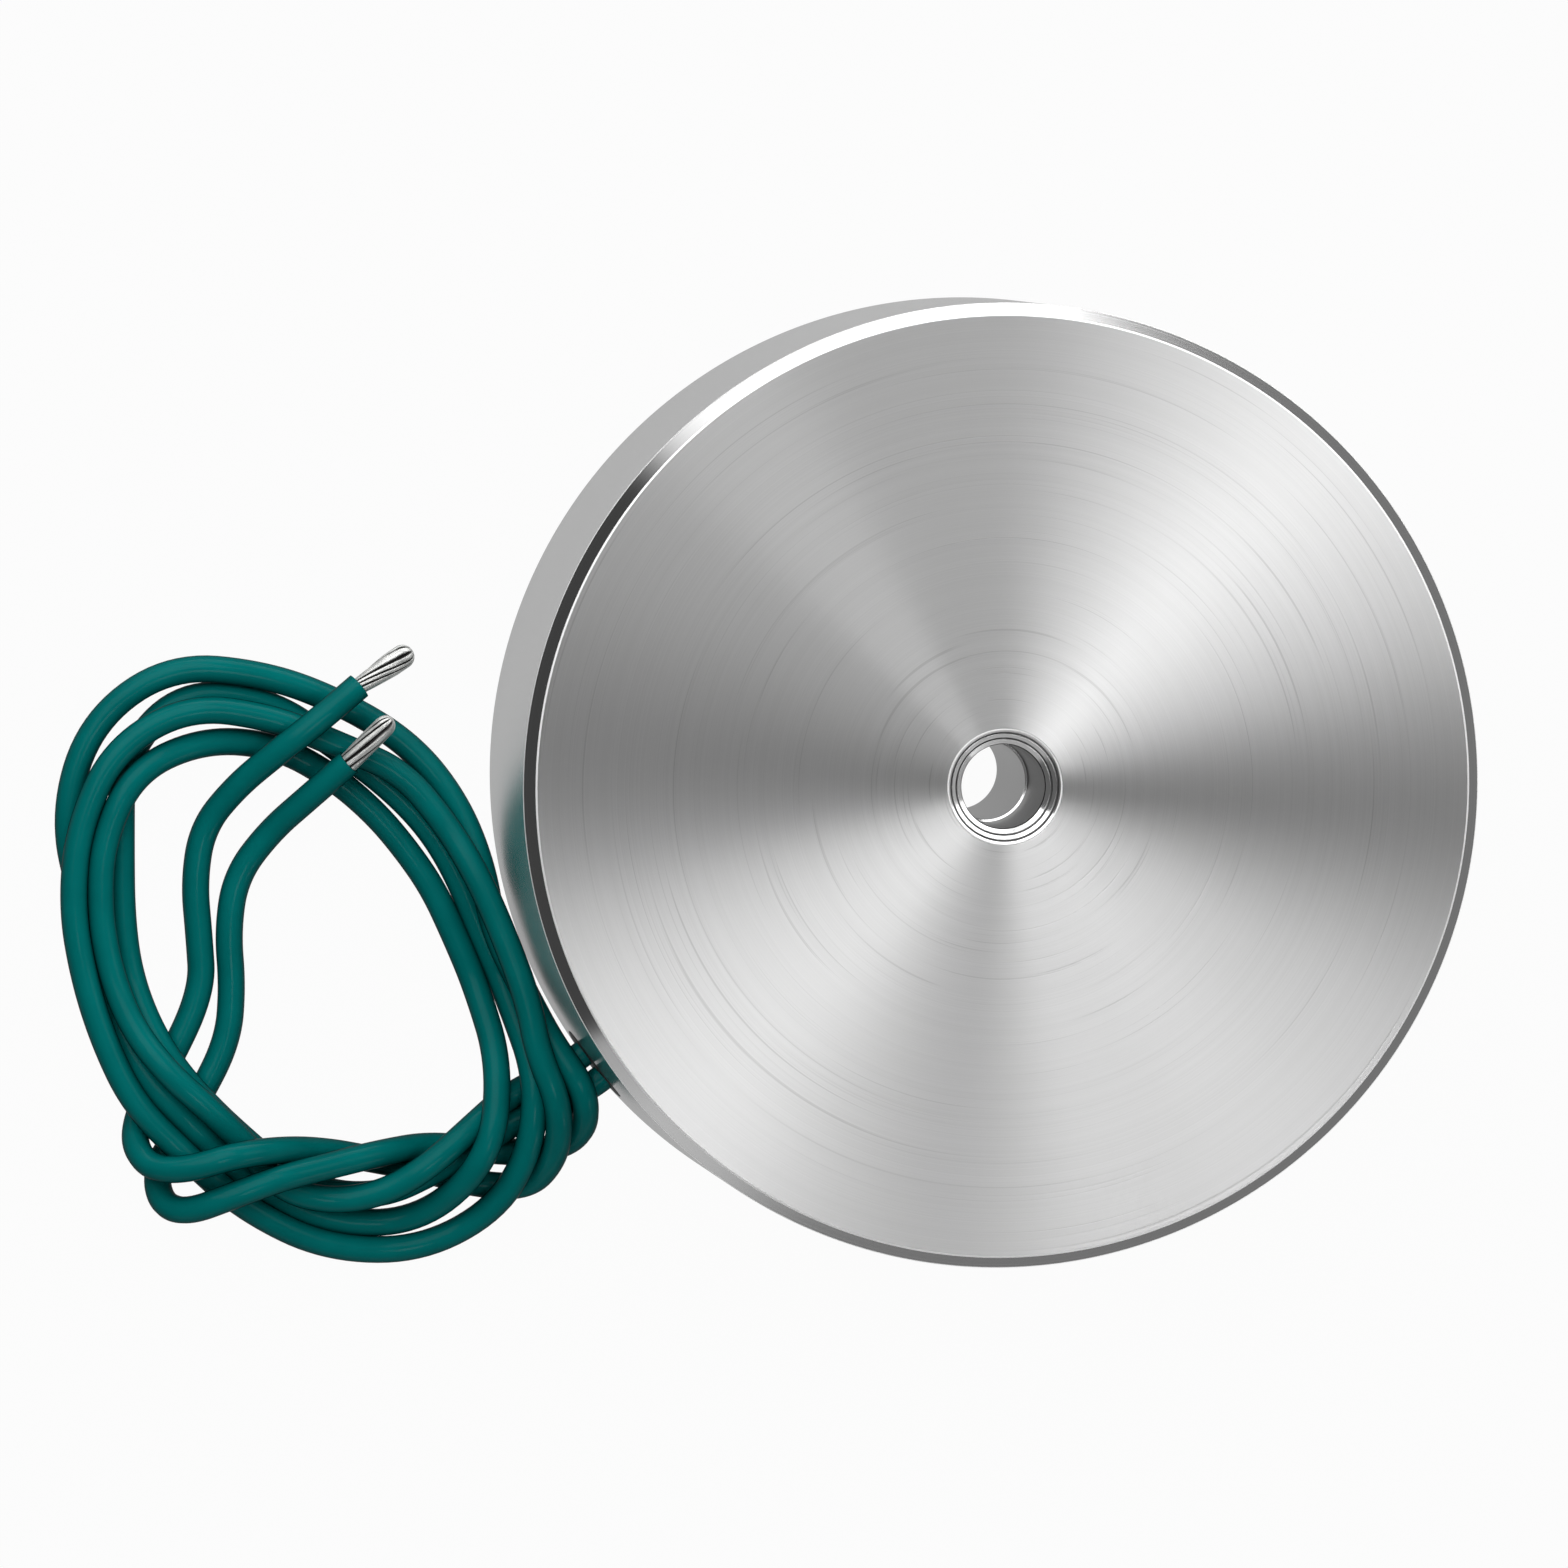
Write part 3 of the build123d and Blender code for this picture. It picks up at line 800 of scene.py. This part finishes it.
def turned_steel(name, grey, roughness, anisotropy, groove, lean=0.0, arcs=0.0):
    """Steel with circular tool marks: ring noise over the radius, spread across the rings.

    Each groove has a long flank and a short one, so the surface leans on average:
    the height falls by lean times the distance from the axis."""
    steel = Finish(name)
    steel.set(Metallic=1.0, Anisotropic=anisotropy, Anisotropic_Rotation=ACROSS_THE_MARKS)
    radius = steel.radius()
    coarse = steel.noise(1.3, 3.0, w=radius)
    fine = steel.noise(9.0, 2.0, w=radius)
    patch = steel.noise(60.0, 2.0)
    tone = steel.math(
        "ADD", steel.math("MULTIPLY", coarse, 0.2), steel.math("MULTIPLY", fine, 0.3))
    tone = steel.math("ADD", tone, steel.math("MULTIPLY", patch, 0.15))
    tone = steel.math("ADD", tone, 0.175)
    height = steel.math(
        "ADD", steel.math("MULTIPLY", fine, 0.6), steel.math("MULTIPLY", coarse, 0.4))
    height = steel.math("MULTIPLY", height, groove)
    height = steel.math("SUBTRACT", height, steel.math("MULTIPLY", radius, lean * MM))
    if arcs:
        where = steel.around(radius, ARC_TURNS, ARC_SPACING)
        mark = steel.ramp(steel.noise(1.0, 1.0, vector=where), [(0.64, 0.0), (0.72, 1.0)])
        tone = steel.math("SUBTRACT", tone, steel.math("MULTIPLY", mark, 0.3))
        height = steel.math("SUBTRACT", height, steel.math("MULTIPLY", mark, arcs))
    low, high = grey
    colour = steel.ramp(tone, [(0.0, low * 0.75), (0.3, low), (0.7, high)])
    steel.feed(colour, steel.shader, "Base Color")
    rough = steel.math("ADD", roughness - 0.03, steel.math("MULTIPLY", fine, 0.06))
    steel.feed(rough, steel.shader, "Roughness")
    steel.bump(height, 1.0)
    tangent = steel.node("ShaderNodeTangent", direction_type="UV_MAP", uv_map="turned")
    steel.join(tangent, "Tangent", steel.shader, "Tangent")
    return steel.material


face_steel = turned_steel(
    "turned_face", (0.57, 0.65), 0.333, 0.98, 1.5e-6, lean=-0.14, arcs=4.0e-6)
# painted highlight: the broken edges get a near-white grey, so they show as a bright line
edge_steel_painted_highlight = turned_steel("broken_edge_painted_highlight", (0.90, 0.96), 0.60, 0.0, 0.5e-6)
# painted shade: the chamfer's steel gets a dark grey that stands in for the dark reflection
# along its left and lower side
chamfer_steel_painted_shade = turned_steel("chamfer_painted_shade", (0.27, 0.33), 0.12, 0.0, 0.2e-6)
side_steel = turned_steel("turned_side", (0.70, 0.80), 0.22, 0.0, 0.5e-6)
pole_steel = turned_steel("turned_pole", (0.66, 0.76), 0.13, 0.0, 0.2e-6)
# painted shade: a near-black grey for the wall of the mouth and its grooves, where the hole
# lies in shade
mouth_steel_painted_shade = turned_steel("bored_mouth_painted_shade", (0.08, 0.12), 0.30, 0.0, 0.3e-6)
# painted shade: the bore below the step is a darker grey than the pole's steel
bore_steel_painted_shade = turned_steel("bored_hole_painted_shade", (0.46, 0.56), 0.22, 0.0, 0.3e-6)
print("steel finishes ready")

# %% [markdown]
# ## The jacket of the leads
#
# The jacket is soft green plastic, drawn round the copper in one long pull. Its
# colour is nearly even, with faint clouds and waves from the extruder. A strand
# looks darker along its edges, where light crosses the clear top of the plastic at
# a slant. The shader's coat does that: it lies over the colour with a tint of its
# own, and the longer the way through it, the darker the colour below.


# %% Green jacket
def jacket_plastic():
    """Green plastic: cloud noise in the colour, fine grain in the gloss, a tinted coat."""
    plastic = Finish("green_jacket")
    plastic.set(Specular_IOR_Level=0.07, Coat_Weight=1.0, Coat_IOR=1.03, Coat_Roughness=0.2,
                Coat_Tint=(0.62, 0.62, 0.62, 1.0))
    cloud = plastic.noise(220.0, 3.0)
    colour = plastic.ramp(cloud, [(0.3, (0.0, 0.200, 0.194)), (0.7, (0.0005, 0.236, 0.229))])
    plastic.feed(colour, plastic.shader, "Base Color")
    grain = plastic.noise(1500.0, 2.0)
    rough = plastic.math("ADD", 0.15, plastic.math("MULTIPLY", grain, 0.06))
    plastic.feed(rough, plastic.shader, "Roughness")
    plastic.bump(plastic.noise(300.0, 2.0), 2.0e-6)
    return plastic.material


jacket = jacket_plastic()
print("jacket ready")

# %% [markdown]
# ## The bared wires
#
# The copper of the leads is tinned, so it is silver and not red. The metal has
# dull patches where it was handled, and almost no light gets down between two
# wires. The groove attribute of the mesh says where that is, and the finish paints
# that shade in, nearly black.


# %% Tinned wire
def tinned_wire():
    """Tinned copper: patches of grey less the groove depth as painted shade, over a ramp of
    greys.
    """
    tinned = Finish("tinned_wire")
    tinned.set(Metallic=0.6)
    patch = tinned.noise(900.0, 4.0)
    groove = tinned.node("ShaderNodeAttribute", attribute_name="groove")
    tone = tinned.math("ADD", 0.35, tinned.math("MULTIPLY", patch, 0.65))
    # painted shade: the depth of the groove darkens the tone, down to near black between wires
    tone = tinned.math("SUBTRACT", tone, (groove, "Fac"))
    colour = tinned.ramp(tone, [
        (0.0, (0.01, 0.01, 0.01)),
        (0.3, (0.15, 0.15, 0.145)),
        (0.55, (0.50, 0.51, 0.50)),
        (0.8, (0.74, 0.74, 0.72)),
    ])
    tinned.feed(colour, tinned.shader, "Base Color")
    rough = tinned.math("ADD", 0.28, tinned.math("MULTIPLY", patch, 0.15))
    tinned.feed(rough, tinned.shader, "Roughness")
    tinned.bump(tinned.noise(5000.0, 2.0), 4.0e-6)
    return tinned.material


wire = tinned_wire()
print("wire ready")

# %% [markdown]
# ## The inner parts
#
# The bobbin, the winding, the tape, the resin and the joints keep the surfaces of
# the solid model, because the pot hides them, but someone who takes the magnet
# apart sees them. Each gets its own colour with a soft variation and a fine bump.
# The winding is one solid, so rings of bump show its layers of wire.


# %% Rubber, resin, nylon, copper, tape, solder and sleeve
def plain_finish(name, low, high, scale, roughness, depth, metallic=0.0, wire_pitch=0.0):
    """Two colours mixed by a cloud, with a bump of noise, or of rings a wire apart."""
    made = Finish(name)
    made.set(Metallic=metallic)
    cloud = made.noise(scale, 4.0)
    made.feed(made.ramp(cloud, [(0.3, low), (0.7, high)]), made.shader, "Base Color")
    rough = made.math("ADD", roughness, made.math("MULTIPLY", cloud, 0.15))
    made.feed(rough, made.shader, "Roughness")
    if wire_pitch:
        split = made.node("ShaderNodeSeparateXYZ")
        made.feed(made.place(), split, 0)
        around_wire = made.math("MULTIPLY", (split, "Z"), 2 * np.pi / (wire_pitch * MM))
        made.bump(made.math("SINE", around_wire), depth)
    else:
        made.bump(made.noise(scale * 6, 2.0), depth)
    return made.material


rubber = plain_finish(
    "bush_rubber", (0.010, 0.010, 0.011), (0.022, 0.022, 0.022), 400.0, 0.5, 8e-6)
resin = plain_finish(
    "black_resin", (0.010, 0.010, 0.011), (0.02, 0.02, 0.02), 90.0, 0.12, 2e-5)
nylon = plain_finish(
    "bobbin_nylon", (0.02, 0.02, 0.021), (0.04, 0.04, 0.04), 300.0, 0.4, 5e-6)
copper = plain_finish(
    "enamelled_copper", (0.45, 0.13, 0.03), (0.62, 0.22, 0.06), 300.0, 0.18, 1e-4,
    metallic=1.0, wire_pitch=0.6)
tape = plain_finish(
    "amber_tape", (0.60, 0.25, 0.02), (0.75, 0.36, 0.04), 200.0, 0.25, 2e-5)
solder = plain_finish(
    "solder", (0.45, 0.45, 0.44), (0.62, 0.62, 0.60), 1200.0, 0.25, 2e-5, metallic=1.0)
sleeve = plain_finish(
    "shrink_sleeve", (0.008, 0.008, 0.008), (0.02, 0.02, 0.02), 500.0, 0.42, 1e-5)
print("other finishes ready")

# %% [markdown]
# ## Giving the pieces their finishes
#
# The pot and the pole are one piece of steel each, but their surfaces were cut by
# different tools, so each face of the mesh gets the finish of its place: where its
# middle lies, by distance from the axis and by height. The near-white grey of the
# broken edges is a painted highlight, and the dark greys of the chamfer, of the
# bore's mouth and of the bore are painted shade. All other pieces have one finish
# all over.


# %% Finish the pot
def wear(piece, *finishes):
    """Puts finishes on a piece, in place of what it had."""
    piece.data.materials.clear()
    for finish in finishes:
        piece.data.materials.append(finish)


def face_places(piece):
    """Distance from the axis and height of the middle of each face, in millimetres."""
    middles = np.empty(len(piece.data.polygons) * 3)
    piece.data.polygons.foreach_get("center", middles)
    middles = middles.reshape(-1, 3) / MM
    return np.hypot(middles[:, 0], middles[:, 1]), middles[:, 2]


FACE, EDGE, CHAMFER, SIDE = range(4)
wear(pot, face_steel, edge_steel_painted_highlight, chamfer_steel_painted_shade, side_steel)
out, level = face_places(pot)
chamfer_foot = BODY_HEIGHT - RIM_CHAMFER
pot_zone = np.full(len(out), FACE, np.int32)
# the broken edges of the rim take the near-white finish, a painted highlight
pot_zone[(out > EDGE_RADIUS - 0.10) & (level > BODY_HEIGHT - 0.5)] = EDGE
# the chamfer takes the dark finish, painted shade
pot_zone[(out > EDGE_RADIUS + 0.06) & (level < BODY_HEIGHT - 0.1)] = CHAMFER
pot_zone[(out > BODY_RADIUS - 0.065) & (level < chamfer_foot + 0.06)] = EDGE
pot_zone[(out > BODY_RADIUS - 0.6) & (level < chamfer_foot - 0.08)] = SIDE
pot.data.polygons.foreach_set("material_index", pot_zone)
print("pot faces of each finish:", np.bincount(pot_zone).tolist())

# %% [markdown]
# ## Finishing the pole
#
# The mouth of the bore is bright above and dark inside: its lip has the look of
# the pot's broken edges, its rings are polished, and the two narrow grooves
# between them and the wall of the bore down to the step are painted a near-black
# grey as shade. Below the step the bore is a lighter grey again, still darker than
# the pole's steel, as painted shade of the hole.

# %% Finish the pole
BODY, MOUTH, BORE, LIP = range(4)
MOUTH_GROOVES = ((4.42, 4.54), (3.95, 4.06))
wear(pole, pole_steel, mouth_steel_painted_shade, bore_steel_painted_shade, edge_steel_painted_highlight)
out, level = face_places(pole)
inside = out < MOUTH_RADIUS + 0.02
pole_zone = np.full(len(out), BODY, np.int32)
# the wall of the mouth down to the step takes the near-black finish, painted shade
pole_zone[inside & (level < BODY_HEIGHT - 1.0) & (level > STEP_LEVEL + 0.06)] = MOUTH
pole_zone[inside & (level < STEP_LEVEL - 0.03)] = BORE
# the lip of the mouth takes the same painted highlight as the broken edges
pole_zone[(out > 4.69) & (level > BODY_HEIGHT - 0.06)] = LIP
# painted shade: the faces of the two grooves take the near-black finish too
for low, high in MOUTH_GROOVES:
    deep = (level < BODY_HEIGHT - 0.3) & (level > BODY_HEIGHT - 1.0)
    pole_zone[(out > low) & (out < high) & deep] = MOUTH
pole.data.polygons.foreach_set("material_index", pole_zone)
print("pole faces of each finish:", np.bincount(pole_zone).tolist())

# %% [markdown]
# ## Finishing the other pieces
#
# These have one finish each. The solids that the pot hides are found in the frame
# by name, and only their material changes.

# %% Finish the other pieces
wear(bush, rubber)
for piece in (lead_a, lead_b):
    wear(piece, jacket)
for piece in (strands_a, strands_b):
    wear(piece, wire)
INNER_FINISHES = {
    "coil_bobbin": nylon,
    "copper_winding": copper,
    "winding_start_tail": copper,
    "winding_finish_tail": copper,
    "winding_tape": tape,
    "potting_resin": resin,
    "splice_a": solder,
    "splice_b": solder,
    "splice_sleeve_a": sleeve,
    "splice_sleeve_b": sleeve,
}
for node, finish in INNER_FINISHES.items():
    wear(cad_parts[node], finish)
print("inner parts with a finish:", len(INNER_FINISHES))

# %% [markdown]
# ## Joining the frame
#
# Every new piece is tied to the solid model: it rides on the one body, and the
# solids that it stands for are hidden. The table also gives the name of each
# piece's material, which nothing here reads.

# %% Tie the pieces to the model
TIES = (
    (pot, "turned_steel", ["pot_shell"]),
    (pole, "pole_steel", ["centre_pole"]),
    (bush, "grommet_rubber", ["lead_grommet"]),
    (lead_a, "lead_insulation", ["lead_coil", "lead_a_root", "lead_a_tail"]),
    (lead_b, "lead_insulation", ["lead_b_root", "lead_b_tail"]),
    (strands_a, "tinned_strands", ["lead_a_strands"]),
    (strands_b, "tinned_strands", ["lead_b_strands"]),
)
for piece, slot, solids in TIES:
    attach(piece, "root")
    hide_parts(*solids)
print("pieces tied to the model:", len(TIES))

# %% [markdown]
# ## The leads as cords
#
# A lead is a fixed length of something limp, and whoever uses the part may lay it
# another way.

print("leads: limp, of a fixed length")

# %% [markdown]
# ## The floor
#
# The photograph has a plain white ground. Here a ray from the camera meets almost
# only a plain white glow, which the light path chooses, and a ray that a polished
# surface mirrors meets two fifths of it. Every other ray meets a duller surface,
# so the floor throws little light up under the leads and their edges stay deep. A
# small share of that surface shows to the camera too, with a faint shadow on it.

# %% Floor
FLOOR_HALF = 3000.0
FLOOR_GREY = 0.20
GLOW_TO_CAMERA = 0.965
GLOW_TO_MIRRORS = 0.40
floor_corners = [(-1, -1, 0), (1, -1, 0), (1, 1, 0), (-1, 1, 0)]
floor = mesh_object("floor", np.array(floor_corners) * FLOOR_HALF, [(0, 1, 2, 3)])
ground = Finish("white_floor")
ground.set(
    Base_Color=(FLOOR_GREY, FLOOR_GREY, FLOOR_GREY, 1.0), Roughness=0.9, Specular_IOR_Level=0.1)
path = ground.node("ShaderNodeLightPath")
glow = ground.node("ShaderNodeEmission")
glow.inputs["Color"].default_value = (1.0, 1.0, 1.0, 1.0)
mix = ground.node("ShaderNodeMixShader")
mirrored = ground.math("MAXIMUM", (path, "Is Glossy Ray"), (path, "Is Transmission Ray"))
seen = ground.math("MULTIPLY", (path, "Is Camera Ray"), GLOW_TO_CAMERA)
share = ground.math("ADD", seen, ground.math("MULTIPLY", mirrored, GLOW_TO_MIRRORS))
ground.feed(share, mix, 0)
ground.join(ground.shader, "BSDF", mix, 1)
ground.join(glow, 0, mix, 2)
ground.join(mix, 0, ground.out, "Surface")
wear(floor, ground.material)
print("floor ready")

# %% [markdown]
# ## The lamps
#
# The fan on the disc tells where the lamps were: scratches across a direction
# mirror the lamp that lies along it, so each lamp lights a wedge of the face that
# points at it and a wedge opposite, both turned a little because the camera stands
# off the axis. Four square soft boxes at one distance make the fan together. A
# broad one at the back left is the key, a small one stands almost above, one is at
# the right, and one is low in front.


# %% Lamps
def soft_lamp(name, azimuth, elevation, distance, size, power):
    """Square soft lamp that looks at the disc, placed by its angles and distance."""
    azimuth, elevation = np.radians((azimuth, elevation))
    away = np.array((
        np.cos(azimuth) * np.cos(elevation),
        np.sin(azimuth) * np.cos(elevation),
        np.sin(elevation),
    ))
    data = bpy.data.lights.new(name, "AREA")
    data.size = size
    data.energy = power
    lamp = bpy.data.objects.new(name, data)
    bpy.context.scene.collection.objects.link(lamp)
    sideways = np.cross((0.0, 0.0, 1.0), away)
    sideways /= np.linalg.norm(sideways)
    turn = np.column_stack((sideways, np.cross(away, sideways), away))
    place = Matrix.Translation((away * distance).tolist())
    lamp.matrix_world = place @ Matrix(turn.tolist()).to_4x4()


LAMP_DISTANCE = 1.1
# Name: azimuth and elevation in degrees, size in metres, power in watts.
LAMPS = {
    "key": (120.5, 49.9, 1.03, 8.81),
    "front": (272.9, 76.8, 0.27, 1.25),
    "side": (23.0, 51.1, 0.47, 1.21),
    "low": (313.0, 31.5, 0.27, 0.68),
}
for name, (azimuth, elevation, size, power) in LAMPS.items():
    soft_lamp(name, azimuth, elevation, LAMP_DISTANCE, size, power)
print("lamps:", ", ".join(LAMPS))

# %% [markdown]
# ## The sky
#
# The chamfer and the mouth of the bore are narrow mirrors that look towards the
# horizon, so what they show is the studio round the object and not the lamps. The
# sky is a dim even grey with a few broad pale patches in it, such as white walls
# and reflectors are. Each patch has a soft edge in one level direction and one in
# height, and its power.

# %% Patches of the sky
world = bpy.data.worlds.new("sky")
bpy.context.scene.world = world
world.use_nodes = True
sky = NodeTree(world.node_tree)
background = sky.tree.nodes["Background"]
background.inputs["Strength"].default_value = 1.0
view = sky.node("ShaderNodeTexCoord")
split = sky.node("ShaderNodeSeparateXYZ")
sky.join(view, "Generated", split, 0)
to_right, to_back, upwards = (split, "X"), (split, "Y"), (split, "Z")


def sky_patch(side, side_range, height_range, power):
    """Light of a patch: its power where the side and the height are both inside it."""
    inside = sky.math(
        "MULTIPLY", sky.step(side, *side_range), sky.step(upwards, *height_range))
    return sky.math("MULTIPLY", inside, power)


print("sky ready for patches")

# %% [markdown]
# ## The light of the sky
#
# A patch high in the back left would light the face, so the strong ones lie low:
# the brightest, at the back, whitens the chamfer along the upper rim, and the one
# at the back right stands higher and lights the lip and rings of the bore's mouth.
# A faint one fills every side but the left and lifts the wall, and the last is a
# strip low in front. The view transform stays plain, so colours come out as they
# are written.

# %% Light of the sky
SKY_GREY = 0.15
TOWARDS_BACK_RIGHT = (0.574, 0.819)
to_back_right = sky.math(
    "ADD",
    sky.math("MULTIPLY", to_right, TOWARDS_BACK_RIGHT[0]),
    sky.math("MULTIPLY", to_back, TOWARDS_BACK_RIGHT[1]),
)
patches = (
    sky_patch(to_back, (0.66, 0.86), (0.22, 0.12), 3.4),
    sky_patch(to_back_right, (0.70, 0.78), (0.50, 0.40), 2.0),
    sky_patch(to_right, (-0.75, -0.60), (0.55, 0.45), 0.35),
    sky_patch(to_back, (-0.60, -0.64), (0.16, 0.10), 1.1),
)
light = SKY_GREY
for patch in patches:
    light = sky.math("ADD", patch, light)
grey = sky.node("ShaderNodeCombineColor")
for entry in ("Red", "Green", "Blue"):
    sky.feed(light, grey, entry)
sky.join(grey, 0, background, "Color")
bpy.context.scene.view_settings.view_transform = "Standard"
print("sky patches:", len(patches))
